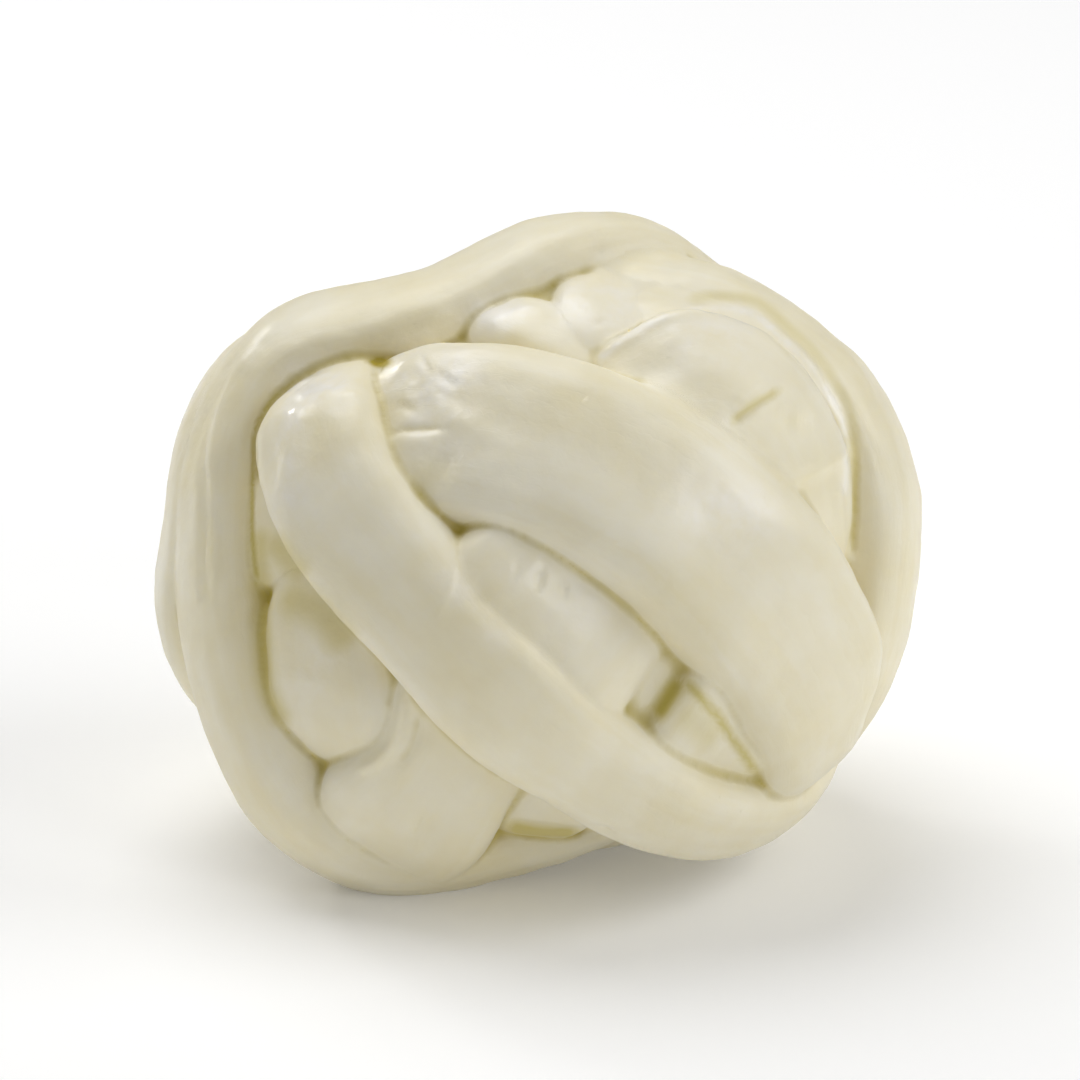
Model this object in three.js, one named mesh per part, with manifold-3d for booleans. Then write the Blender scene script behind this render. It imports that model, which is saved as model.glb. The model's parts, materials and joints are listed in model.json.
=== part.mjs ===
// Asadero cheese: a ball wound by hand from one soft rope of stretched curd, on the foot that it sags onto.
// Millimetres, +Z up, the show side towards -Y, the origin under the middle of the ball.

import * as THREE from "three";
import { mergeVertices } from "three/addons/utils/BufferGeometryUtils.js";
import Module from "manifold-3d";

// The ball without the unevenness of its rope, as seen from the show side.
const BALL_WIDTH = 107;
const BALL_HEIGHT = 93;
const BALL_DEPTH = 92;

// The inner turns are pressed into one mass, which fills this share of the ball.
const CORE_SHARE = 0.82;

// The show side looks up by this angle, and the foot is this far below the ball's middle.
const SHOW_TILT_DEG = 20;
const FOOT_DROP = 41.4;

// How finely the rope is faceted.
const ROPE_SIDES = 12;
const RING_STEP = 4.5;
const CAP_RINGS = 2;
const CORE_SEGMENTS = 24;

// Under 1, the rope's section is fuller at its shoulders than an ellipse.
// Flatter passes have a power of their own.
const SHOULDER_POWER = 0.85;

// The turns that don't show: how many stations a route has, and how much thinner and deeper its ends are.
const TURN_STATIONS = 7;
const TURN_THICK = 13;
const TURN_TAPER = 0.4;
const TURN_DIVE = 0.18;

// Turns side by side over the back, one on each side and one below, each on its share of the ball's size.
const BACK_TURNS = 4;
const BACK_WIDE = 24;
const BACK_LEAN_DEG = -25;
const BACK_SPREAD = 0.6;
const BACK_REACH_DEG = 95;
const BACK_SHARE = 0.84;
const SIDE_WIDE = 27;
const SIDE_OFFSET = -0.3;
const SIDE_REACH_DEG = 75;
const SIDE_SHARE = 0.86;
const SOLE_WIDE = 28;
const SOLE_OFFSET = -0.23;
const SOLE_REACH_DEG = 65;
const SOLE_SHARE = 0.765;

// The passes of the rope that show, each with its full width and thickness. A station on a route is x to
// the right, y up and z towards the eye from the ball's middle, as seen from the show side, and then the
// rope's share of its full girth there. Both ends of a pass run on beneath other passes.
const PASSES = {
  rim: {
    wide: 19,
    thick: 12.5,
    route: [
      [27, -20, -22, 0.6],
      [31.5, -13, -26.5, 0.85],
      [36.5, -2, -30, 0.95],
      [37.5, 12, -27, 1],
      [32.5, 27, -18, 0.85],
      [23, 37.8, -4, 0.5],
      [12, 43, 6, 0.63],
      [0, 40.4, 12.5, 0.8],
      [-12, 34.4, 16, 0.85],
      [-20.4, 31.4, 17, 0.9],
      [-33.5, 27.3, 14.5, 0.96],
      [-41.3, 16, 13, 1],
      [-43, 0, 14, 1],
      [-40.3, -18.5, 14, 1.03],
      [-33, -34, 13, 1.02],
      [-21, -41.6, 9.5, 0.93],
      [0, -38.4, 8, 0.86],
      [12, -34, 5, 0.8],
      [28, -25, -5, 0.5],
    ],
  },
  outerLeft: {
    wide: 17,
    thick: 11,
    route: [
      [-8, 35, -14, 0.7],
      [-21, 33.5, -8, 0.78],
      [-32, 29.6, 1, 0.84],
      [-40.8, 23.8, 5.5, 0.92],
      [-45.2, 14.3, 6, 1],
      [-47.2, 2, 4.5, 1],
      [-48.1, -8, 0, 1],
      [-44, -17, -10, 1],
      [-34, -23.5, -22, 1.05],
      [-18, -26, -31, 1.1],
      [2, -25, -34.5, 1.1],
      [21, -21, -32, 1],
      [34, -16, -25, 0.8],
      [39, -10, -16, 0.5],
    ],
  },
  rightRim: {
    wide: 20,
    thick: 12.5,
    route: [
      [-27, -16, -22, 0.6],
      [-31, -8, -27, 0.85],
      [-33.5, 5, -30, 1],
      [-28, 20.5, -27, 1],
      [-17, 31, -18, 0.9],
      [-5, 35, -5, 0.7],
      [4, 35, 7, 0.6],
      [15.5, 36.2, 11, 0.78],
      [26, 33, 11, 0.9],
      [35.2, 26.4, 10, 0.96],
      [42.4, 19, 9, 1],
      [46.6, 7, 8.5, 1],
      [45.6, -9, 6, 1],
      [42, -20, -3, 0.95],
      [33.5, -28.5, -13, 0.95],
      [20, -32, -19, 0.95],
      [2, -33, -21, 0.95],
      [-16, -31.5, -21, 0.9],
      [-30, -24, -19, 0.6],
    ],
  },
  diagonal: {
    wide: 20.5,
    thick: 15,
    route: [
      [-23, 12, 8, 0.8],
      [-26.5, 19.5, 20, 0.85],
      [-28.2, 14.5, 29, 1.02],
      [-25, 5.7, 34.8, 1.02],
      [-14.4, -7.9, 40, 0.93],
      [-2.4, -20.2, 38.5, 0.95],
      [9.1, -29, 31.5, 0.84],
      [20.4, -34.9, 22, 0.77],
      [30.8, -34.4, 8, 0.74],
      [37, -26, -9, 0.72],
      [40, -13, -21, 0.85],
      [34, 1, -29.5, 0.95],
      [20, 12, -35.5, 1],
      [2, 19, -36, 1],
      [-16, 22, -31.5, 1],
      [-30, 20, -23, 0.85],
      [-38, 16, -13, 0.55],
    ],
  },
  broad: {
    wide: 28,
    thick: 17,
    shoulder: 0.68,
    route: [
      [-25, 14, 23, 0.75],
      [-13.3, 15.4, 32.5, 0.93],
      [0.3, 13.4, 37.5, 0.96],
      [14, 7.4, 38.5, 0.97],
      [26.6, -3.4, 33.5, 1],
      [34.8, -16, 24, 0.93],
      [36.3, -25, 17, 0.68],
      [34.5, -29.5, 6, 0.45],
      [28, -30, -2, 0.4],
    ],
  },
  upperFold: {
    wide: 22,
    thick: 13,
    shoulder: 0.62,
    route: [
      [4.5, 18, 28, 0.52],
      [13.3, 21.4, 31, 0.76],
      [21.4, 23.3, 30, 0.95],
      [29, 19.2, 28.2, 0.96],
      [33.8, 11.5, 25.1, 0.94],
      [36.2, 2.5, 20.5, 0.82],
      [38.5, -7.5, 10, 0.6],
    ],
  },
  topLeftKnuckle: {
    wide: 12.5,
    thick: 10,
    route: [
      [-12, 29.5, 5, 0.7],
      [-7, 30.3, 16, 0.95],
      [-2.5, 29.2, 22.5, 1],
      [2.5, 27, 26, 0.95],
      [8, 24.2, 27, 0.8],
      [13, 21, 26, 0.7],
    ],
  },
  topRightKnuckle: {
    wide: 18,
    thick: 10.5,
    shoulder: 0.68,
    route: [
      [10, 27, -2, 0.7],
      [10.4, 32.4, 8.5, 0.95],
      [10.2, 32, 17.5, 1.03],
      [9.6, 27, 24.5, 1],
      [8, 20, 27, 0.85],
    ],
  },
  leftStub: {
    wide: 19,
    thick: 11,
    shoulder: 0.68,
    route: [
      [-42, 3, 4, 0.8],
      [-36, 3.5, 18, 1],
      [-27, 5, 26, 0.95],
    ],
  },
  leftPillow: {
    wide: 22,
    thick: 12,
    shoulder: 0.72,
    route: [
      [-26.5, -2, 26, 0.9],
      [-27.3, -12, 26.5, 1],
      [-26.6, -18.6, 25.4, 1.03],
      [-25.6, -23.6, 21.5, 0.98],
      [-23, -26.5, 11, 0.7],
    ],
  },
  fan: {
    wide: 25,
    thick: 12.5,
    shoulder: 0.68,
    route: [
      [15, 6, 30, 1],
      [8, -2, 34.6, 1.22],
      [-1.8, -11.8, 37.8, 1.33],
      [-7, -19, 32.5, 1],
      [-12.4, -28.2, 27.5, 0.86],
      [-17.9, -35, 20, 0.99],
      [-21.5, -38.2, 10, 0.95],
      [-17, -32, -4, 0.7],
    ],
  },
  gapLedge: {
    wide: 12,
    thick: 10.5,
    shoulder: 0.6,
    route: [
      [23.5, -6, 29, 0.8],
      [14.8, -16.8, 32, 0.95],
      [6, -27.4, 26.5, 1.15],
      [0.5, -32, 17.3, 1.3],
      [-2, -34, 5, 1.2],
    ],
  },
  foldFloor: {
    wide: 20,
    thick: 10,
    route: [
      [-7, 30, 10, 0.7],
      [1, 33.5, 14, 0.9],
      [10, 33, 14, 0.95],
      [20, 31, 18.2, 1],
      [31, 25, 18.6, 1],
      [39, 15, 15, 1],
      [41.5, 4, 10, 0.8],
    ],
  },
  gapFloor: {
    wide: 25,
    thick: 10,
    shoulder: 0.62,
    route: [
      [33, -13, 22, 0.9],
      [25, -23, 27, 1],
      [16.5, -33, 18, 0.9],
    ],
  },
};

const curd = new THREE.MeshStandardMaterial({ color: 0xe9e3c8, roughness: 0.45, metalness: 0 });

// The way out of the ball at a point, which is the way that a rope lying there faces.
function outwards(point) {
  return new THREE.Vector3(
    point.x / BALL_WIDTH ** 2,
    point.y / BALL_HEIGHT ** 2,
    point.z / BALL_DEPTH ** 2,
  ).normalize();
}

// The route of a turn round an axis of the ball, its middle the way it faces and its ends under other passes.
function turn(facing, axis, offset, reachDeg, share) {
  const beside = axis.clone().cross(facing);
  const route = [];
  for (let i = 0; i < TURN_STATIONS; i++) {
    const way = (2 * i) / (TURN_STATIONS - 1) - 1;
    const angle = THREE.MathUtils.degToRad(reachDeg) * way;
    const spoke = Math.sqrt(1 - offset ** 2);
    const point = axis
      .clone()
      .multiplyScalar(offset)
      .addScaledVector(facing, Math.cos(angle) * spoke)
      .addScaledVector(beside, Math.sin(angle) * spoke)
      .multiply(new THREE.Vector3(BALL_WIDTH, BALL_HEIGHT, BALL_DEPTH))
      .multiplyScalar((share * (1 - TURN_DIVE * way ** 4)) / 2);
    route.push([point.x, point.y, point.z, 1 - TURN_TAPER * way ** 4]);
  }
  return route;
}

// The turns that don't show from the front.
function hiddenPasses() {
  const back = new THREE.Vector3(0, 0, -1);
  const lean = THREE.MathUtils.degToRad(BACK_LEAN_DEG);
  const backAxis = new THREE.Vector3(Math.sin(lean), Math.cos(lean), 0);
  const hidden = [];
  for (let i = 0; i < BACK_TURNS; i++) {
    const offset = BACK_SPREAD * ((2 * i) / (BACK_TURNS - 1) - 1);
    const route = turn(back, backAxis, offset, BACK_REACH_DEG, BACK_SHARE);
    hidden.push({ wide: BACK_WIDE, thick: TURN_THICK, route });
  }
  const toEye = new THREE.Vector3(0, 0, 1);
  for (const side of [-1, 1]) {
    const route = turn(new THREE.Vector3(side, 0, 0), toEye, SIDE_OFFSET, SIDE_REACH_DEG, SIDE_SHARE);
    hidden.push({ wide: SIDE_WIDE, thick: TURN_THICK, route });
  }
  const route = turn(new THREE.Vector3(0, -1, 0), toEye, SOLE_OFFSET, SOLE_REACH_DEG, SOLE_SHARE);
  hidden.push({ wide: SOLE_WIDE, thick: TURN_THICK, route });
  return hidden;
}

// The rope's share of its full girth at a place on its route, eased from one station to the next.
function girthAt(route, place) {
  const station = Math.min(Math.floor(place * (route.length - 1)), route.length - 2);
  const eased = THREE.MathUtils.smoothstep(place * (route.length - 1) - station, 0, 1);
  return THREE.MathUtils.lerp(route[station][3], route[station + 1][3], eased);
}

function shouldered(offset, power) {
  return Math.sign(offset) * Math.abs(offset) ** power;
}

// One pass: a capsule bent along its route, with its flat side to the ball and its ends rounded.
function ropePass({ wide, thick, route, shoulder = SHOULDER_POWER }) {
  const path = new THREE.CatmullRomCurve3(
    route.map(([x, y, z]) => new THREE.Vector3(x, y, z)),
    false,
    "centripetal",
  );
  const rings = Math.ceil(path.getLength() / RING_STEP);
  const rope = new THREE.CapsuleGeometry(1, rings, CAP_RINGS, ROPE_SIDES, rings);
  const vertices = rope.getAttribute("position");
  for (let i = 0; i < vertices.count; i++) {
    const along = THREE.MathUtils.clamp(vertices.getY(i) / rings + 0.5, 0, 1);
    const pastEnd = vertices.getY(i) - (along - 0.5) * rings;
    const place = path.getUtoTmapping(along);
    const middle = path.getPoint(place);
    const ahead = path.getTangent(place);
    const across = ahead.clone().cross(outwards(middle)).normalize();
    const up = across.clone().cross(ahead);
    const girth = girthAt(route, place);
    middle
      .addScaledVector(ahead, (pastEnd * girth * thick) / 2)
      .addScaledVector(across, (shouldered(vertices.getX(i), shoulder) * girth * wide) / 2)
      .addScaledVector(up, (shouldered(vertices.getZ(i), shoulder) * girth * thick) / 2);
    vertices.setXYZ(i, middle.x, middle.y, middle.z);
  }
  return rope;
}

function core() {
  return new THREE.SphereGeometry(CORE_SHARE / 2, CORE_SEGMENTS, CORE_SEGMENTS / 2).scale(
    BALL_WIDTH,
    BALL_HEIGHT,
    BALL_DEPTH,
  );
}

// All that would be below the foot.
function ground() {
  return new THREE.BoxGeometry(2 * BALL_WIDTH, 2 * BALL_WIDTH, BALL_HEIGHT).translate(
    0,
    0,
    -FOOT_DROP - BALL_HEIGHT / 2,
  );
}

const wasm = await Module();
wasm.setup();

function toSolid(geometry) {
  const bare = geometry.clone().deleteAttribute("normal").deleteAttribute("uv");
  const merged = mergeVertices(bare);
  return new wasm.Manifold(
    new wasm.Mesh({
      numProp: 3,
      vertProperties: new Float32Array(merged.getAttribute("position").array),
      triVerts: new Uint32Array(merged.index.array),
    }),
  );
}

function toGeometry(solid) {
  const { vertProperties, triVerts } = solid.getMesh();
  const geometry = new THREE.BufferGeometry();
  geometry.setAttribute("position", new THREE.BufferAttribute(vertProperties, 3));
  geometry.setIndex(new THREE.BufferAttribute(triVerts, 1));
  return geometry;
}

// The ball is one piece of curd: every pass fused to the core, with the pockets sealed inside filled.
const standing = Math.PI / 2 - THREE.MathUtils.degToRad(SHOW_TILT_DEG);
const fused = [core(), ...[...Object.values(PASSES), ...hiddenPasses()].map(ropePass)]
  .map((piece) => toSolid(piece.rotateX(standing)))
  .reduce((ball, piece) => ball.add(piece))
  .subtract(toSolid(ground()));
const outer = fused.decompose().reduce((one, other) => (one.volume() > other.volume() ? one : other));

const geometry = toGeometry(outer);
geometry.computeBoundingBox();
const middle = geometry.boundingBox.getCenter(new THREE.Vector3());
geometry.translate(-middle.x, -middle.y, FOOT_DROP);
geometry.computeVertexNormals();

const cheese = new THREE.Mesh(geometry, curd);
cheese.name = "cheese";

const asadero = new THREE.Group();
asadero.add(cheese);

export default asadero;
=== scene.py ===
# Asadero cheese: a ball wound by hand from one soft rope of stretched curd.

import json
import math

import bpy
import numpy as np
from mathutils import Matrix, Vector, noise

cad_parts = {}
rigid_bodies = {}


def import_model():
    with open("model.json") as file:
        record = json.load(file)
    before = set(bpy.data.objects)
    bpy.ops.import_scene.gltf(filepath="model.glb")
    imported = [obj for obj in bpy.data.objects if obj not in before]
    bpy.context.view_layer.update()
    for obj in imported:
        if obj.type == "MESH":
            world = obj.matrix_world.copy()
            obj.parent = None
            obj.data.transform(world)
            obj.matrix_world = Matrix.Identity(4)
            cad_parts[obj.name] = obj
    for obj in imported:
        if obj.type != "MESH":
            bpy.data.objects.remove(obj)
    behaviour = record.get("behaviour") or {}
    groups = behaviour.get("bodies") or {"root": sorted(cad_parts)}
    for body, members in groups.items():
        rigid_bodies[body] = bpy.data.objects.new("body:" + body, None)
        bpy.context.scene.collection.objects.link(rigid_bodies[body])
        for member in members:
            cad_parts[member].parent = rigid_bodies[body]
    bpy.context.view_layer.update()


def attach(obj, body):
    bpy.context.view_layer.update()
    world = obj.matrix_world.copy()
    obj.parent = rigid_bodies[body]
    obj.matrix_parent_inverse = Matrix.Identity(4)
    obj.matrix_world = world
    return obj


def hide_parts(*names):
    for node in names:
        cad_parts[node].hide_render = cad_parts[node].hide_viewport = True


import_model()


# The inner turns of the ball
# Warm curd is stretched into a rope and wound into a ball, and its inner turns are pressed into one
# mass. It only shows at the bottom of a few gaps, so a smooth core stands for it.
MM = 0.001
BALL_WIDTH = 107
BALL_HEIGHT = 93
BALL_DEPTH = 92
CORE_SHARE = 0.82
SHOW_TILT_DEG = 20
BALL_MIDDLE = (0.1, 1.2, 41.4)

stand_up = Matrix.Rotation(math.radians(90 - SHOW_TILT_DEG), 3, "X")


def in_frame(point):
    """A point in millimetres, seen from the show side, as a place in the frame in metres."""
    return (stand_up @ Vector(point) + Vector(BALL_MIDDLE)) * MM


def deselect():
    """Leaves edit mode and deselects everything, before a new piece is made."""
    if bpy.context.object and bpy.context.object.mode == "EDIT":
        bpy.ops.object.mode_set(mode="OBJECT")
    bpy.ops.object.select_all(action="DESELECT")


deselect()
bpy.ops.mesh.primitive_uv_sphere_add(segments=64, ring_count=32, radius=0.5)
ball = bpy.context.object
ball.name = "cheese_ball"
for vertex in ball.data.vertices:
    x, y, z = vertex.co * CORE_SHARE
    vertex.co = in_frame((x * BALL_WIDTH, y * BALL_HEIGHT, z * BALL_DEPTH))
ball.data.uv_layers[0].name = "rope_lay"


# The passes of the rope on the show side
# One rope of curd, pulled as thick as a thumb and flattened by the hands, goes round and round the
# ball. Each pass that shows lies on the ones before it, and both of its ends run on beneath others.
ROPE_SIDES = 56
RING_STEP = 1.5
ROUTE_NUDGE = 0.02
SHOULDER_POWER = 0.78
FIBRE_PITCH = 4.5
FIBRE_RUN = 45
FIBRE_DEPTH = 0.16
DEEP_FIBRE = 0.25
LAY_SHIFT = 10


def outwards(point):
    """The way out of the ball at a point, which is the way that a rope lying there faces."""
    way = (point.x / BALL_WIDTH**2, point.y / BALL_HEIGHT**2, point.z / BALL_DEPTH**2)
    return Vector(way).normalized()


def route_point(stations, place):
    """The point on the smooth route through the stations, at a place counted in stations."""
    first = min(int(place), len(stations) - 2)
    start, end = stations[first], stations[first + 1]
    before = stations[first - 1] if first > 0 else 2 * start - end
    after = stations[first + 2] if first + 2 < len(stations) else 2 * end - start
    gaps = [math.sqrt((b - a).length) for a, b in ((before, start), (start, end), (end, after))]
    leave = (start - before) / gaps[0] - (end - before) / (gaps[0] + gaps[1]) + (end - start) / gaps[1]
    arrive = (end - start) / gaps[1] - (after - start) / (gaps[1] + gaps[2]) + (after - end) / gaps[2]
    leave, arrive = leave * gaps[1], arrive * gaps[1]
    t = place - first
    return (
        start * (2 * t**3 - 3 * t**2 + 1)
        + leave * (t**3 - 2 * t**2 + t)
        + end * (3 * t**2 - 2 * t**3)
        + arrive * (t**3 - t**2)
    )


def route_places(stations, step):
    """Places along a route, counted in stations, about a step apart."""
    places = []
    for i in range(len(stations) - 1):
        count = max(2, round((stations[i + 1] - stations[i]).length / step))
        places += [i + k / count for k in range(count)]
    return places + [len(stations) - 1]


def girth_at(route, place):
    """The rope's share of its full girth at a place on its route, eased between the stations."""
    first = min(int(place), len(route) - 2)
    t = place - first
    eased = t * t * (3 - 2 * t)
    return route[first][3] * (1 - eased) + route[first + 1][3] * eased


passes = []


def lay_rope(name, wide, thick, route, shoulder=SHOULDER_POWER, fibre=FIBRE_DEPTH):
    """Extrudes a straight rope ring by ring and bends it along its route, its flat side to the ball.

    A station of the route is a point seen from the show side, and the rope's share of its girth there.
    """
    stations = [Vector(station[:3]) for station in route]
    places = route_places(stations, RING_STEP)

    deselect()
    bpy.ops.mesh.primitive_circle_add(vertices=ROPE_SIDES, radius=1, fill_type="NGON")
    rope = bpy.context.object
    rope.name = name
    bpy.ops.object.mode_set(mode="EDIT")
    bpy.ops.mesh.select_all(action="SELECT")
    bpy.ops.mesh.extrude_repeat(steps=len(places) - 1, offset=(0, 0, 1))
    bpy.ops.object.mode_set(mode="OBJECT")

    rings = []
    travelled = 0
    for place in places:
        middle = route_point(stations, place)
        behind = route_point(stations, max(place - ROUTE_NUDGE, 0))
        before = route_point(stations, min(place + ROUTE_NUDGE, len(stations) - 1))
        ahead = (before - behind).normalized()
        across = ahead.cross(outwards(middle)).normalized()
        up = across.cross(ahead)
        girth = girth_at(route, place) / 2
        travelled += (middle - rings[-1][0]).length if rings else 0
        rings.append((middle, across * wide * girth, up * thick * girth, travelled))

    fibres_round = (wide + thick) / 4 / FIBRE_PITCH
    shift = LAY_SHIFT * len(passes)
    lay = rope.data.uv_layers[0]
    lay.name = "rope_lay"
    for loop in rope.data.loops:
        x, y, ring = rope.data.vertices[loop.vertex_index].co
        travelled = rings[round(ring)][3]
        lay.data[loop.index].uv = (math.atan2(x, y) * fibres_round, travelled / FIBRE_RUN + shift)
    for vertex in rope.data.vertices:
        x, y, ring = vertex.co
        middle, across, up, travelled = rings[round(ring)]
        spot = Vector((x * fibres_round, y * fibres_round, travelled / FIBRE_RUN + shift))
        swell = 1 + fibre * noise.noise(spot) / (thick / 2)
        side = math.copysign(abs(x) ** shoulder, x) * swell
        rise = math.copysign(abs(y) ** shoulder, y) * swell
        vertex.co = in_frame(middle + across * side + up * rise)
    bpy.ops.object.mode_set(mode="EDIT")
    bpy.ops.mesh.select_all(action="SELECT")
    bpy.ops.mesh.normals_make_consistent(inside=False)
    bpy.ops.object.mode_set(mode="OBJECT")
    passes.append(rope)


lay_rope("rim", 19, 12.5, [
    (27, -20, -22, 0.6), (31.5, -13, -26.5, 0.85), (36.5, -2, -30, 0.95), (37.5, 12, -27, 1),
    (32.5, 27, -18, 0.85), (23, 37.8, -4, 0.5), (12, 43, 6, 0.63), (0, 40.4, 12.5, 0.8),
    (-12, 34.4, 16, 0.85), (-20.4, 31.4, 17, 0.9), (-33.5, 27.3, 14.5, 0.96), (-41.3, 16, 13, 1),
    (-43, 0, 14, 1), (-40.3, -18.5, 14, 1.03), (-33, -34, 13, 1.02), (-21, -41.6, 9.5, 0.93),
    (0, -38.4, 8, 0.86), (12, -34, 5, 0.8), (28, -25, -5, 0.5),
], fibre=DEEP_FIBRE)
lay_rope("outer_left", 17, 11, [
    (-8, 35, -14, 0.7), (-21, 33.5, -8, 0.78), (-32, 29.6, 1, 0.84), (-40.8, 23.8, 5.5, 0.92),
    (-45.2, 14.3, 6, 1), (-47.2, 2, 4.5, 1), (-48.1, -8, 0, 1), (-44, -17, -10, 1),
    (-34, -23.5, -22, 1.05), (-18, -26, -31, 1.1), (2, -25, -34.5, 1.1), (21, -21, -32, 1),
    (34, -16, -25, 0.8), (39, -10, -16, 0.5),
], fibre=DEEP_FIBRE)
lay_rope("right_rim", 20, 12.5, [
    (-27, -16, -22, 0.6), (-31, -8, -27, 0.85), (-33.5, 5, -30, 1), (-28, 20.5, -27, 1),
    (-17, 31, -18, 0.9), (-5, 35, -5, 0.7), (4, 35, 7, 0.6), (15.5, 36.2, 11, 0.78),
    (26, 33, 11, 0.9), (35.2, 26.4, 10, 0.96), (42.4, 19, 9, 1), (46.6, 7, 8.5, 1),
    (45.6, -9, 6, 1), (42, -20, -3, 0.95), (33.5, -28.5, -13, 0.95), (20, -32, -19, 0.95),
    (2, -33, -21, 0.95), (-16, -31.5, -21, 0.9), (-30, -24, -19, 0.6),
])
lay_rope("diagonal", 20.5, 15, [
    (-23, 12, 8, 0.8), (-26.5, 19.5, 20, 0.85), (-28.2, 14.5, 29, 1.02), (-25, 5.7, 34.8, 1.02),
    (-14.4, -7.9, 40, 0.93), (-2.4, -20.2, 38.5, 0.95), (9.1, -29, 31.5, 0.84), (20.4, -34.9, 22, 0.77),
    (30.8, -34.4, 8, 0.74), (37, -26, -9, 0.72), (40, -13, -21, 0.85), (34, 1, -29.5, 0.95),
    (20, 12, -35.5, 1), (2, 19, -36, 1), (-16, 22, -31.5, 1), (-30, 20, -23, 0.85), (-38, 16, -13, 0.55),
])
lay_rope("broad", 28, 17, [
    (-25, 14, 23, 0.75), (-13.3, 15.4, 32.5, 0.93), (0.3, 13.4, 37.5, 0.96), (14, 7.4, 38.5, 0.97),
    (26.6, -3.4, 33.5, 1), (34.8, -16, 24, 0.93), (36.3, -25, 17, 0.68), (34.5, -29.5, 6, 0.45),
    (28, -30, -2, 0.4),
], shoulder=0.68)
lay_rope("upper_fold", 22, 13, [
    (4.5, 18, 28, 0.52), (13.3, 21.4, 31, 0.76), (21.4, 23.3, 30, 0.95), (29, 19.2, 28.2, 0.96),
    (33.8, 11.5, 25.1, 0.94), (36.2, 2.5, 20.5, 0.82), (38.5, -7.5, 10, 0.6),
], shoulder=0.62)
lay_rope("top_left_knuckle", 12.5, 10, [
    (-12, 29.5, 5, 0.7), (-7, 30.3, 16, 0.95), (-2.5, 29.2, 22.5, 1), (2.5, 27, 26, 0.95),
    (8, 24.2, 27, 0.8), (13, 21, 26, 0.7),
])
lay_rope("top_right_knuckle", 18, 10.5, [
    (10, 27, -2, 0.7), (10.4, 32.4, 8.5, 0.95), (10.2, 32, 17.5, 1.03), (9.6, 27, 24.5, 1),
    (8, 20, 27, 0.85),
], shoulder=0.68)
lay_rope("left_stub", 19, 11, [
    (-42, 3, 4, 0.8), (-36, 3.5, 18, 1), (-27, 5, 26, 0.95),
], shoulder=0.68)
lay_rope("left_pillow", 22, 12, [
    (-26.5, -2, 26, 0.9), (-27.3, -12, 26.5, 1), (-26.6, -18.6, 25.4, 1.03), (-25.6, -23.6, 21.5, 0.98),
    (-23, -26.5, 11, 0.7),
], shoulder=0.72)
lay_rope("fan", 25, 12.5, [
    (15, 6, 30, 1), (8, -2, 34.6, 1.22), (-1.8, -11.8, 37.8, 1.33), (-7, -19, 32.5, 1),
    (-12.4, -28.2, 27.5, 0.86), (-17.9, -35, 20, 0.99), (-21.5, -38.2, 10, 0.95), (-17, -32, -4, 0.7),
], shoulder=0.68)
lay_rope("gap_ledge", 12, 10.5, [
    (23.5, -6, 29, 0.8), (14.8, -16.8, 32, 0.95), (6, -27.4, 26.5, 1.15), (0.5, -32, 17.3, 1.3),
    (-2, -34, 5, 1.2),
], shoulder=0.6)
lay_rope("fold_floor", 20, 10, [
    (-7, 30, 10, 0.7), (1, 33.5, 14, 0.9), (10, 33, 14, 0.95), (20, 31, 18.2, 1), (31, 25, 18.6, 1),
    (39, 15, 15, 1), (41.5, 4, 10, 0.8),
])
lay_rope("gap_floor", 25, 10, [
    (33, -13, 22, 0.9), (25, -23, 27, 1), (16.5, -33, 18, 0.9),
], shoulder=0.62)


# The turns round the back
# They are more of the same rope, wound side by side over the back of the ball, with one on each side
# and one below that the ball lies on. Both ends of each turn dive under its neighbours.
TURN_STATIONS = 7
TURN_TAPER = 0.4
TURN_DIVE = 0.18
BACK_TURNS = 4
BACK_LEAN_DEG = -25
BACK_SPREAD = 0.6


def turn(faces, axis, offset, reach_deg, share):
    """The route of a turn round an axis of the ball, its middle the way it faces, its ends sunk."""
    faces, axis = Vector(faces), Vector(axis)
    beside = axis.cross(faces)
    route = []
    for i in range(TURN_STATIONS):
        way = 2 * i / (TURN_STATIONS - 1) - 1
        angle = math.radians(reach_deg) * way
        spoke = faces * math.cos(angle) + beside * math.sin(angle)
        depth = share * (1 - TURN_DIVE * way**4)
        x, y, z = (axis * offset + spoke * math.sqrt(1 - offset**2)) * depth / 2
        route.append((x * BALL_WIDTH, y * BALL_HEIGHT, z * BALL_DEPTH, 1 - TURN_TAPER * way**4))
    return route


lean = math.radians(BACK_LEAN_DEG)
back_axis = (math.sin(lean), math.cos(lean), 0)
for i in range(BACK_TURNS):
    offset = BACK_SPREAD * (2 * i / (BACK_TURNS - 1) - 1)
    lay_rope(f"back_turn_{i + 1}", 24, 13, turn((0, 0, -1), back_axis, offset, reach_deg=95, share=0.84))
for name, side in (("left_turn", -1), ("right_turn", 1)):
    lay_rope(name, 27, 13, turn((side, 0, 0), (0, 0, 1), -0.3, reach_deg=75, share=0.86))
lay_rope("sole", 28, 13, turn((0, -1, 0), (0, 0, 1), -0.23, reach_deg=65, share=0.765))


# The ball, pressed together
# The soft passes stick to each other and become one piece of curd. The creases between them are left
# as folds, and the hands press the pits between them shut.
SKIN_GRID = 0.4
SKIN_SMOOTHING = 3
SMOOTHING_SHARE = 0.5
PRESSING = 100
DEEPEST_CREASE = 0.7

for rope in passes:
    deselect()
    bpy.context.view_layer.objects.active = ball
    stick = ball.modifiers.new("stick", "BOOLEAN")
    stick.operation = "UNION"
    stick.solver = "MANIFOLD"
    stick.object = rope
    bpy.ops.object.modifier_apply(modifier=stick.name)
    bpy.data.objects.remove(rope, do_unlink=True)

deselect()
ball.select_set(True)
ball.data.remesh_voxel_size = SKIN_GRID * MM
ball.data.use_remesh_preserve_attributes = True
bpy.ops.object.voxel_remesh()

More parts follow.
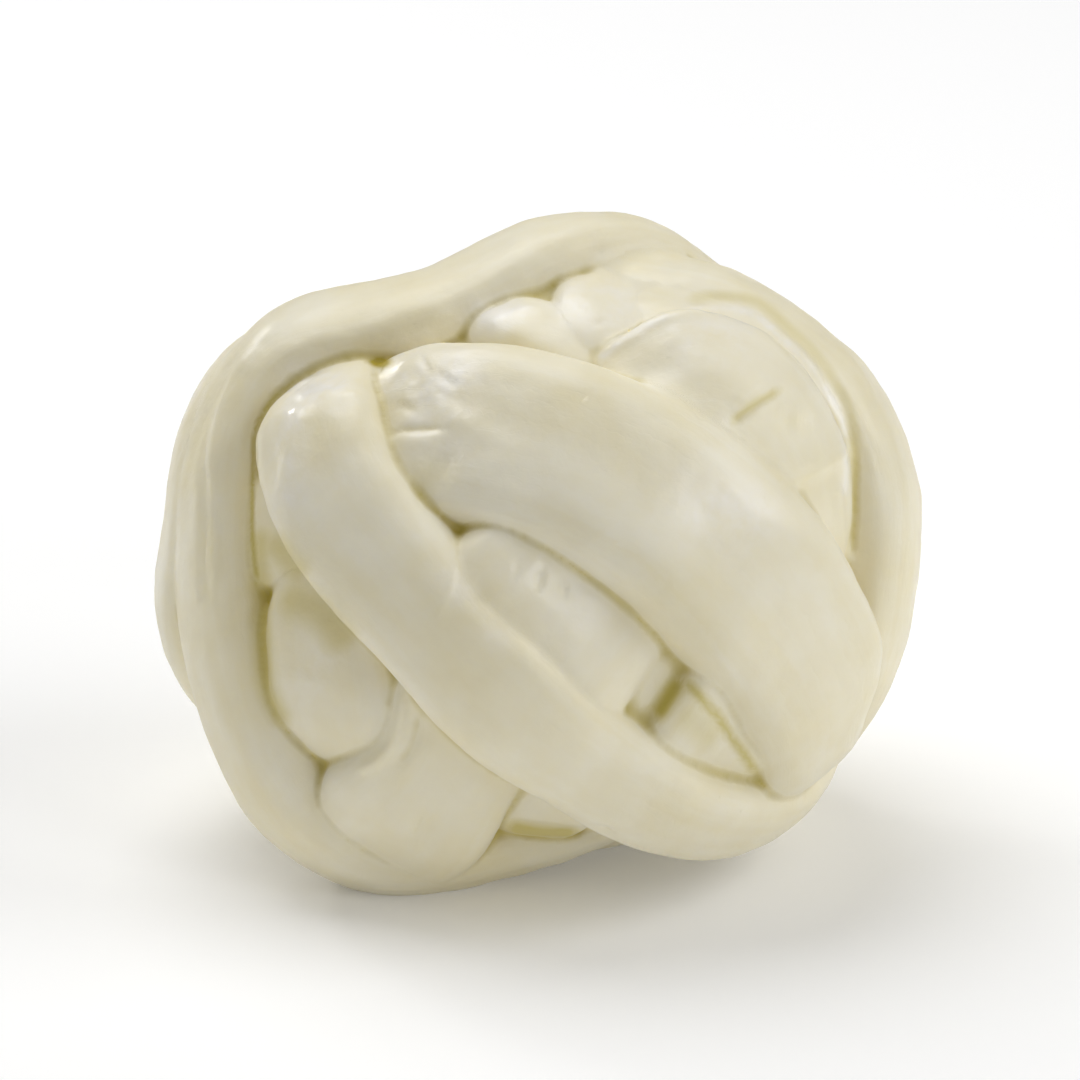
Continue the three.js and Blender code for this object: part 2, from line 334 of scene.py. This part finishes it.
# Bubbles that the winding shuts in are filled: all that doesn't hang together with the top is deleted.
top = max(ball.data.vertices, key=lambda vertex: vertex.co.z).index
bpy.ops.object.mode_set(mode="EDIT")
bpy.ops.mesh.select_mode(type="VERT")
bpy.ops.mesh.select_all(action="DESELECT")
bpy.ops.object.mode_set(mode="OBJECT")
ball.data.vertices[top].select = True
bpy.ops.object.mode_set(mode="EDIT")
bpy.ops.mesh.select_linked()
bpy.ops.mesh.select_all(action="INVERT")
bpy.ops.mesh.delete(type="VERT")
bpy.ops.object.mode_set(mode="OBJECT")


def skin_places():
    """The places of the skin's vertices in the frame, in metres."""
    places = np.empty(3 * len(ball.data.vertices))
    ball.data.vertices.foreach_get("co", places)
    return places.reshape(-1, 3)


def skin_normals():
    """The way that the skin faces at each vertex."""
    normals = np.empty(3 * len(ball.data.vertices))
    ball.data.vertex_normals.foreach_get("vector", normals)
    return normals.reshape(-1, 3)


def move_skin(places):
    """Moves the skin's vertices to new places."""
    ball.data.vertices.foreach_set("co", places.ravel())
    ball.data.update()


def smooth_skin(repeat):
    """Smooths the whole skin."""
    bpy.ops.object.mode_set(mode="EDIT")
    bpy.ops.mesh.select_all(action="SELECT")
    bpy.ops.mesh.vertices_smooth(factor=SMOOTHING_SHARE, repeat=repeat)
    bpy.ops.object.mode_set(mode="OBJECT")


def smoothed(repeat):
    """The places that the skin would have if it were smoothed."""
    crisp = skin_places()
    smooth_skin(repeat)
    soft = skin_places()
    move_skin(crisp)
    return soft


def under(form):
    """How far the skin lies under another form of it, in millimetres."""
    return np.sum((form - skin_places()) * skin_normals(), axis=1) / MM


smooth_skin(SKIN_SMOOTHING)
pressed = smoothed(PRESSING)
share = np.clip(1 - DEEPEST_CREASE / np.maximum(under(pressed), DEEPEST_CREASE), 0, 1)
move_skin(skin_places() + (pressed - skin_places()) * share[:, None])
smooth_skin(SKIN_SMOOTHING)


# The marks on the skin
# Stretching leaves long fibre lines on the passes, and the hands that wind and press the soft ball
# leave lips, small creases and flat dents. Each mark is a line that is drawn as it is seen from the
# camera in front of the show side, in millimetres from the ball's middle.
CAMERA_FAR = 1000
MARK_STEP = 0.4
MARK_TAPER = 2.5
MARK_SPREAD = 3
RUBBING = 160
FACING_LEAST = 0.2
FACING_FULL = 0.5


def skin_near(line, reach):
    """The skin near a line: its vertices, how far off they are in reaches, and the line's fade there."""
    corners = [Vector((x, y, 0)) for x, y in line]
    spots = [route_point(corners, place) for place in route_places(corners, MARK_STEP)]
    spots = np.array([spot.to_2d() for spot in spots])
    points = (skin_places() / MM - np.array(BALL_MIDDLE)) @ np.array(stand_up)
    seen = points[:, :2] / (1 - points[:, 2:] / CAMERA_FAR)
    low, high = spots.min(axis=0) - reach, spots.max(axis=0) + reach
    near = np.flatnonzero(np.all((seen > low) & (seen < high), axis=1) & (points[:, 2] > 0))
    away = np.linalg.norm(seen[near, None] - spots[None], axis=2)
    along = away.argmin(axis=1)
    from_end = np.minimum(along, len(spots) - 1 - along) * MARK_STEP
    fade = np.clip((from_end + MARK_STEP) / MARK_TAPER, 0, 1)
    return near, away.min(axis=1) / reach, fade


def stroke(line, reach):
    """The skin under a soft stroke along a line: its vertices, the stroke's strength and its fade."""
    near, away, fade = skin_near(line, MARK_SPREAD * reach)
    return near, np.exp(-((MARK_SPREAD * away) ** 2)), fade


def facing(near):
    """How fully the skin faces the show side, from 0 where it is steep to 1."""
    towards = (skin_normals()[near] @ np.array(stand_up))[:, 2]
    return np.clip((towards - FACING_LEAST) / (FACING_FULL - FACING_LEAST), 0, 1)


def rub(reach, *line):
    """Smooths the skin along a line, as a thumb does that rubs a crease shut."""
    near, away, fade = skin_near(line, reach)
    share = np.clip(2 - 2 * away, 0, 1)
    share = fade * share**2 * (3 - 2 * share)
    places = skin_places()
    places[near] += (rubbed[near] - places[near]) * share[:, None]
    move_skin(places)


def mark(height, reach, *line):
    """Raises the skin along a line, or presses it in where the height is below zero."""
    near, strength, fade = stroke(line, reach)
    lift = height * MM * fade * facing(near) * strength
    places = skin_places()
    places[near] += skin_normals()[near] * lift[:, None]
    move_skin(places)


# Creases that the hands have rubbed shut: along the left passes, under the upper fold and behind it.
rubbed = smoothed(RUBBING)
rub(5, (-42, 27), (-44.5, 22), (-45.8, 15), (-46.2, 5), (-46.2, -6))
rub(6.5, (14.4, 24.1), (20, 21.8), (25.5, 19.2), (30.3, 15.5), (34.7, 10.8), (37, 8))
rub(5, (6.6, 38.8), (14.3, 39.8), (21.3, 40))

# The creases that stay between the passes, which the skin draws in as it sets.
CREASE_SMOOTHING = 12
CREASE_GAIN = 1.7
CREASE_MOST = 0.6
EVENING = 10
SETTING = 5


def hollowness():
    """How deep the skin lies in a crease, in millimetres, evened out between neighbours."""
    hollow = np.clip(under(smoothed(CREASE_SMOOTHING)), 0, CREASE_MOST)
    ends = np.empty(2 * len(ball.data.edges), dtype=int)
    ball.data.edges.foreach_get("vertices", ends)
    one, other = ends.reshape(-1, 2).T
    count = len(hollow)
    for _ in range(EVENING):
        around = np.bincount(one, hollow[other], count) + np.bincount(other, hollow[one], count)
        hollow = (hollow + around / np.bincount(ends, minlength=count)) / 2
    return hollow


move_skin(skin_places() - skin_normals() * hollowness()[:, None] * CREASE_GAIN * MM)
smooth_skin(SETTING)

# Fibre lines down the left passes.
mark(
    -0.35, 0.8,
    (-41.3, 29), (-44.2, 24.8), (-45.9, 19.9), (-46.5, 14.3), (-46.6, 7.3), (-46.8, 0.3), (-46.6, -7.4),
)
mark(0.2, 0.9, (-40.3, 28.3), (-43.3, 24.1), (-44.9, 19.6), (-45.5, 14.3), (-45.6, 7.3))
mark(-0.25, 0.8, (-46.8, 20.6), (-48.3, 14.3), (-49.3, 7.3), (-49.6, -1.1))

# The puckered lobes, the crease and the facets at the left end of the broad pass.
mark(-0.8, 4, (-17.2, 12.6), (-11.6, 10.5))
mark(0.4, 1.8, (-15.8, 25.6), (-13.8, 26.6))
mark(0.4, 2, (-18.8, 22.5), (-18, 20))
mark(0.2, 1.8, (-12, 18.8), (-8.5, 17), (-5, 14.8), (-6.5, 11.5), (-8.4, 8.1))
mark(-0.6, 0.6, (-20.6, 16.7), (-17.9, 17.2), (-15.1, 17.3), (-13, 17.1))
mark(0.3, 1.4, (-19.6, 15.2), (-16, 15.6), (-13.4, 15.5))
mark(0.25, 1.3, (-12.9, 17.2), (-11.8, 18.8), (-10.6, 20))
mark(-0.3, 2, (-14.5, 12.6), (-11.2, 13.8))
mark(-0.25, 0.9, (-16.6, 27.8), (-14.8, 25.8), (-12.7, 24.2), (-11, 23.4))
mark(-0.3, 0.8, (-20.8, 21.2), (-18.6, 20.5), (-16.6, 19.6))

# The lip of the upper fold, and the short crease and the facets in it.
fold_lip = (
    (9.2, 27.6), (14.6, 31.7), (20.2, 33.7), (25.4, 34.1), (29.8, 33.4), (33.2, 30.8), (37, 27.3),
    (40, 23.5), (42.4, 18.7), (43, 14.8), (43, 8.5),
)
fold_crease = ((26.4, 17.6), (29.4, 20), (31.6, 21.5), (34.8, 23.2))
mark(0.45, 0.8, *fold_lip)
mark(-0.4, 0.8, *fold_crease)
mark(0.5, 1.4, (26.6, 20.4), (29.6, 22.3), (32.4, 23.8))
mark(-0.7, 3, (33.4, 18.4), (38.8, 18.4))
mark(0.6, 1, (35.7, 9.6), (38.8, 11.4), (41.6, 13), (43.6, 14))
mark(0.5, 0.8, (41.2, 10.6), (42, 5.9), (42.7, 1.7), (44, -2))

# The ridge down the left of the diagonal pass, its flattened flank and a fine line across its middle.
mark(0.5, 1.6, (-33.3, 21), (-34.4, 15.7), (-35.4, 10.8), (-35.6, 7.3))
mark(-0.5, 1.6, (-36.8, 15.7), (-38.1, 8.7))
mark(0.25, 0.5, (-11.7, -0.5), (-12, -4), (-14, -9.2))

# The folded left edge of the fan, creases in it and the ribs where it runs under the broad pass.
mark(0.6, 0.7, (-18.4, -19), (-18.8, -21.5), (-19.6, -25.8), (-22.1, -29.1), (-24.9, -30.8))
mark(-0.6, 1.1, (-16.6, -21.6), (-17.6, -26.8), (-19.8, -30.4))
mark(-0.35, 0.7, (-15.5, -35.6), (-16.8, -38.4), (-18.2, -41.4))
mark(-1, 0.9, (-4.5, -38.2), (2, -39), (11.5, -39.6))
mark(-0.3, 0.7, (-2.5, -0.6), (-3.6, -4.2))
mark(-0.3, 0.7, (0.7, -1.4), (-0.1, -5.6))
mark(-0.3, 0.7, (3.9, -2.8), (3.4, -6.7))

# Wrinkles on the right knuckle.
mark(-0.25, 0.7, (4.5, 35.3), (7.3, 33.2))
mark(-0.25, 0.7, (7, 31.4), (10.4, 32.8))

# Along these lines a highlight is painted: the colour is made whiter where light catches the skin, and the
# skin is glossier and finely puckered there.
PUCKER_GRAIN = 2.2
PUCKER_HEIGHT = 0.16
PUCKER_LEAST = 0.05

painted_highlight_share = np.zeros(len(ball.data.vertices))


def paint_highlight(amount, reach, *line):
    """Paints a highlight along a line: a whiter colour there, with more gloss and fine puckers."""
    near, strength, _ = stroke(line, reach)
    painted_highlight_share[near] = np.maximum(painted_highlight_share[near], amount * strength)


# Painted highlights and sheen along these lines, on tops and edges that catch the light.
paint_highlight(1, 3.5, (-33, 23), (-28.4, 23.4))
paint_highlight(0.7, 2.5, (-33, 23), (-35, 15), (-35, 8))
paint_highlight(0.9, 4, (-17.5, 25), (-14, 22), (-12, 25))
paint_highlight(0.6, 3, (-17, 18), (-13, 15))
paint_highlight(1, 2.5, (-7.5, 33), (-3, 33.5))
paint_highlight(0.8, 4, (5, 35), (11, 34))
paint_highlight(1, 0.6, *fold_lip)
paint_highlight(0.7, 4.5, (22, 31), (27, 30))
paint_highlight(0.8, 5, (24, 6), (29, 5))
paint_highlight(0.4, 5, (-1, -4), (6, -9))
paint_highlight(0.5, 4, (-30, -14), (-32, -18))
paint_highlight(0.5, 3, (-12, -4), (-6, -11))

places = skin_places()
puckers = np.zeros(len(painted_highlight_share))
for i in np.flatnonzero(painted_highlight_share > PUCKER_LEAST):
    puckers[i] = noise.noise(Vector(places[i]) / (PUCKER_GRAIN * MM))
move_skin(places + skin_normals() * (painted_highlight_share * puckers)[:, None] * PUCKER_HEIGHT * MM)

# How far down the skin lies between the passes and how deep in a crease; painted shade is laid into the
# colour there.
sunk_depth = np.clip(under(rubbed), 0, None)
crease_depth = hollowness()


def paint_shade(layer, depth, reach, *line):
    """Paints shade along a line into a layer, as much as skin that lies this deep would get."""
    near, strength, fade = stroke(line, reach)
    layer[near] = np.maximum(layer[near], depth * fade * strength)


gap_edge = ((20.4, -17), (18.8, -19.4), (16, -24))
# Painted shade: the sunk layer is deepened along these lines, in gaps and under passes where shade falls.
paint_shade(
    sunk_depth, 1.4, 1,
    (20, 35.4), (25.8, 35.8), (30.8, 34.8), (34.4, 31.8), (38.2, 28.2), (41.4, 24.1), (44, 18.5), (44.4, 8),
)
paint_shade(sunk_depth, 3, 1.2, (-5, -38.3), (0, -39), (6.5, -39.4))
paint_shade(sunk_depth, 1.9, 2.5, (-38, 3), (-35, -1), (-32, -4))
paint_shade(sunk_depth, 1.8, 3.2, (-37, -6), (-31, -8), (-26, -14))
paint_shade(sunk_depth, 2, 1.8, (-38.8, 4), (-38.8, -4), (-38.6, -13.7), (-37.8, -19.3), (-35, -25))
paint_shade(sunk_depth, 3, 1.6, *gap_edge)
paint_shade(sunk_depth, 2.6, 0.9, (19.8, -17), (25.4, -23.4), (29.6, -29.4), (31.4, -32))
paint_shade(sunk_depth, 1.3, 3, (19, -21.5), (26, -27.5))
paint_shade(sunk_depth, 1.8, 0.8, *fold_crease)
# Painted shade in the creases: the crease layer is deepened along these lines.
paint_shade(
    crease_depth, 0.17, 0.55,
    (-32.5, 25.2), (-37.1, 21.4), (-39.4, 17.5), (-39.9, 11), (-40, 5), (-39.8, 0), (-39.2, -5),
)
paint_shade(crease_depth, 0.3, 0.8, (-24.4, 27), (-22, 26.6), (-19.8, 26.6))
paint_shade(crease_depth, 0.16, 1.1, *gap_edge)

layers = {"crease_depth": crease_depth, "sunk_depth": sunk_depth, "highlight_paint": painted_highlight_share}
for name, values in layers.items():
    layer = ball.data.attributes.new(name, "FLOAT", "POINT")
    layer.data.foreach_set("value", values)

# The unevenness that soft curd keeps all over: lumps from the hands, and the grain of the curd.
LUMP_SIZE = 18
LUMP_HEIGHT = 1
GRAIN_SIZE = 5
GRAIN_HEIGHT = 0.3

for name, size, height in (
    ("hand_lumps", LUMP_SIZE, LUMP_HEIGHT),
    ("curd_grain", GRAIN_SIZE, GRAIN_HEIGHT),
):
    uneven = ball.modifiers.new(name, "DISPLACE")
    uneven.texture = bpy.data.textures.new(name, "CLOUDS")
    uneven.texture.noise_scale = size * MM
    uneven.texture_coords = "LOCAL"
    uneven.strength = height * MM
    uneven.mid_level = 0.5
    bpy.ops.object.modifier_apply(modifier=uneven.name)

# The skin keeps as many triangles as its marks need, and the foot is flat from the ball's own weight.
SKIN_TRIANGLES = 190000
CUT_EXACT = 1e-6
SHARP_DEG = 60

thin = ball.modifiers.new("thin", "DECIMATE")
thin.ratio = SKIN_TRIANGLES / (2 * len(ball.data.polygons))
bpy.ops.object.modifier_apply(modifier=thin.name)
bpy.ops.object.mode_set(mode="EDIT")
bpy.ops.mesh.select_all(action="SELECT")
bpy.ops.mesh.bisect(
    plane_co=(0, 0, 0), plane_no=(0, 0, 1), use_fill=True, clear_inner=True, threshold=CUT_EXACT,
)
bpy.ops.object.mode_set(mode="OBJECT")
bpy.ops.object.shade_smooth_by_angle(angle=math.radians(SHARP_DEG))


# The curd itself
# Fresh stretched curd, pulled in hot water: a light ivory that lets some light in, moist and softly
# glossy, with faint long streaks and blotches. A painted highlight makes the colour whiter in patches,
# where the skin is also shinier. Painted shade turns the ivory to a deeper yellow where the skin lies sunk,
# and to olive in the creases.
BLOTCH_SIZE = 16
PATCH_SIZE = 6
PUCKER_SIZE = 4.5
SHEEN_SIZE = 7
PORE_SIZE = 1.6
STREAKS_PER_FIBRE = 1.6
THREADS_PER_FIBRE = 5
RELIEF = 0.08
LIGHT_REACH = 1.4
IVORY = "#ebe1bd"
PALE_IVORY = "#f1ebd5"
PAINTED_HIGHLIGHT_WHITE = "#f7f3e8"
SHADED_YELLOW = "#d2c47c"
CREASE_SHADE_OLIVE = "#b7a53a"


def linear(hex_colour):
    """An sRGB hex colour as linear RGBA."""
    channels = [int(hex_colour[i:i + 2], 16) / 255 for i in (1, 3, 5)]
    return [c / 12.92 if c <= 0.04045 else ((c + 0.055) / 1.055) ** 2.4 for c in channels] + [1]


def node(tree, kind, inputs, **settings):
    """Adds a node to a material, with its settings, its values and its links from other nodes."""
    made = tree.nodes.new("ShaderNode" + kind)
    for name, value in settings.items():
        setattr(made, name, value)
    for name, value in inputs.items():
        if isinstance(value, bpy.types.NodeSocket):
            tree.links.new(value, made.inputs[name])
        else:
            made.inputs[name].default_value = value
    return made


curd = bpy.data.materials.new("fresh_stretched_curd")
curd.use_nodes = True
tree = curd.node_tree
shader = tree.nodes["Principled BSDF"]
place = node(tree, "TexCoord", {}).outputs["Object"]
lay = node(tree, "UVMap", {}, uv_map="rope_lay").outputs["UV"]
crease = node(tree, "Attribute", {}, attribute_name="crease_depth").outputs["Fac"]
sunk = node(tree, "Attribute", {}, attribute_name="sunk_depth").outputs["Fac"]
painted_highlight_attr = node(tree, "Attribute", {}, attribute_name="highlight_paint").outputs["Fac"]

# Ivory with streaks along the rope and blotches; a painted highlight makes it whiter along the highlight
# lines, and painted shade makes it deeper yellow where it lies sunk and olive in the creases.
blotch = node(tree, "TexNoise", {
    "Vector": place, "Scale": 1 / (BLOTCH_SIZE * MM), "Detail": 3, "Roughness": 0.55,
})
streak = node(tree, "TexNoise", {"Vector": lay, "Scale": STREAKS_PER_FIBRE, "Detail": 2})
tone = node(tree, "Math", {
    0: streak.outputs["Fac"], 1: 0.4, 2: blotch.outputs["Fac"],
}, operation="MULTIPLY_ADD")
tone = node(tree, "MapRange", {"Value": tone.outputs[0], "From Min": 0.5, "From Max": 0.9})
skin = node(tree, "Mix", {0: tone.outputs[0], 6: linear(IVORY), 7: linear(PALE_IVORY)}, data_type="RGBA")
patch = node(tree, "TexNoise", {
    "Vector": place, "Scale": 1 / (PATCH_SIZE * MM), "Detail": 4, "Roughness": 0.6,
})
patch = node(tree, "MapRange", {
    "Value": patch.outputs["Fac"], "From Min": 0.35, "From Max": 0.6, "To Min": 0.25,
})
highlight_mask = node(tree, "Math", {0: painted_highlight_attr, 1: patch.outputs[0]}, operation="MULTIPLY").outputs[0]
# Painted highlight: the colour turns whiter where the highlight mask is.
skin = node(tree, "Mix", {0: highlight_mask, 6: skin.outputs[2], 7: linear(PAINTED_HIGHLIGHT_WHITE)}, data_type="RGBA")
# Painted shade: the colour turns a deeper yellow where the skin lies sunk between the passes.
deep = node(tree, "MapRange", {"Value": sunk, "From Min": 0.4, "From Max": 2.6})
skin = node(tree, "Mix", {
    0: deep.outputs[0], 6: skin.outputs[2], 7: linear(SHADED_YELLOW),
}, data_type="RGBA")
# Painted shade: the creases are painted a darker olive.
crease_shade = node(tree, "MapRange", {"Value": crease, "From Min": 0.05, "From Max": 0.2})
skin = node(tree, "Mix", {0: crease_shade.outputs[0], 6: skin.outputs[2], 7: linear(CREASE_SHADE_OLIVE)}, data_type="RGBA")
tree.links.new(skin.outputs[2], shader.inputs["Base Color"])

# A moist skin, uneven in its sheen and glossier where the highlight is painted.
sheen = node(tree, "TexNoise", {"Vector": place, "Scale": 1 / (SHEEN_SIZE * MM), "Detail": 3})
sheen = node(tree, "MapRange", {
    "Value": sheen.outputs["Fac"], "From Min": 0.3, "From Max": 0.7, "To Min": 0.42, "To Max": 0.6,
})
sheen = node(tree, "Math", {0: highlight_mask, 1: -0.16, 2: sheen.outputs[0]}, operation="MULTIPLY_ADD")
tree.links.new(sheen.outputs[0], shader.inputs["Roughness"])
moist = node(tree, "Math", {0: highlight_mask, 1: 0.6, 2: 0.2}, operation="MULTIPLY_ADD")
tree.links.new(moist.outputs[0], shader.inputs["Coat Weight"])
shader.inputs["Coat Roughness"].default_value = 0.2
shader.inputs["IOR"].default_value = 1.45

# Fine threads along the rope, pores and puckers, under a tenth of a millimetre high.
thread = node(tree, "TexNoise", {
    "Vector": lay, "Scale": THREADS_PER_FIBRE, "Detail": 4, "Roughness": 0.65,
})
pore = node(tree, "TexNoise", {"Vector": place, "Scale": 1 / (PORE_SIZE * MM), "Detail": 3})
pucker = node(tree, "TexNoise", {"Vector": place, "Scale": 1 / (PUCKER_SIZE * MM), "Detail": 2})
relief = node(tree, "Math", {0: thread.outputs["Fac"], 1: pore.outputs["Fac"]}, operation="ADD")
relief = node(tree, "Math", {
    0: pucker.outputs["Fac"], 1: 2.5, 2: relief.outputs[0],
}, operation="MULTIPLY_ADD")
bump = node(tree, "Bump", {"Height": relief.outputs[0], "Strength": 0.6, "Distance": RELIEF * MM})
tree.links.new(bump.outputs[0], shader.inputs["Normal"])

# Light goes a little way into curd, and the blue of it least far.
shader.subsurface_method = "BURLEY"
shader.inputs["Subsurface Weight"].default_value = 1
shader.inputs["Subsurface Radius"].default_value = (1, 0.9, 0.45)
shader.inputs["Subsurface Scale"].default_value = LIGHT_REACH * MM
ball.data.materials.clear()
ball.data.materials.append(curd)

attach(ball, "root")
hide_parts("cheese")


# The camera, floor and light
# A long lens a metre in front of the show side, a floor painted a plain matt white, and round soft
# lamps in a white room: a wide one above, one from the right and small ones for the gloss.
FRAME_WIDE = 151.2
FRAME_OFFSET = (0.28, 1.68)
SENSOR_WIDE = 36

deselect()
bpy.ops.object.camera_add(
    location=in_frame((FRAME_OFFSET[0], FRAME_OFFSET[1], CAMERA_FAR)),
    rotation=(math.radians(90 - SHOW_TILT_DEG), 0, 0),
)
camera = bpy.context.object
camera.data.sensor_width = SENSOR_WIDE
camera.data.lens = SENSOR_WIDE * CAMERA_FAR / FRAME_WIDE
bpy.context.scene.camera = camera

FLOOR_SIDE = 8
FLOOR_WHITE = "#f9f9f9"

deselect()
bpy.ops.mesh.primitive_plane_add(size=FLOOR_SIDE)
floor = bpy.context.object
floor.name = "floor"
floor_paint = bpy.data.materials.new("matt_white_paint")
floor_paint.use_nodes = True
paint = floor_paint.node_tree.nodes["Principled BSDF"]
paint.inputs["Base Color"].default_value = linear(FLOOR_WHITE)
paint.inputs["Roughness"].default_value = 0.9
paint.inputs["Emission Color"].default_value = (1, 1, 1, 1)
paint.inputs["Emission Strength"].default_value = 0.1
floor.data.materials.append(floor_paint)

LAMP_FAR = 1.2
AIM = Vector((0, 0, 0.04))


def soft_lamp(name, direction, size, watts):
    """A round soft lamp that looks at the ball from a direction."""
    stand = AIM + Vector(direction).normalized() * LAMP_FAR
    deselect()
    bpy.ops.object.light_add(type="AREA", location=stand)
    lamp = bpy.context.object
    lamp.name = name
    lamp.data.shape = "DISK"
    lamp.data.size = size
    lamp.data.energy = watts
    lamp.rotation_euler = (AIM - stand).to_track_quat("-Z", "Y").to_euler()


soft_lamp("top_lamp", (-0.25, 0.3, 0.9), 1.1, 9.3)
soft_lamp("right_lamp", (0.8, -0.1, 0.55), 0.8, 5.2)
soft_lamp("right_front_lamp", (0.6, -0.66, 0.44), 0.4, 1.6)
soft_lamp("left_lamp", (-0.75, -0.25, 0.6), 0.8, 1)
soft_lamp("left_back_lamp", (-0.6, 0.68, 0.39), 0.22, 1.6)

ROOM_LIGHT = 0.16

room = bpy.data.worlds.new("white_room")
room.use_nodes = True
room.node_tree.nodes["Background"].inputs["Color"].default_value = (1, 1, 1, 1)
room.node_tree.nodes["Background"].inputs["Strength"].default_value = ROOM_LIGHT
bpy.context.scene.world = room
bpy.context.scene.view_settings.view_transform = "Standard"
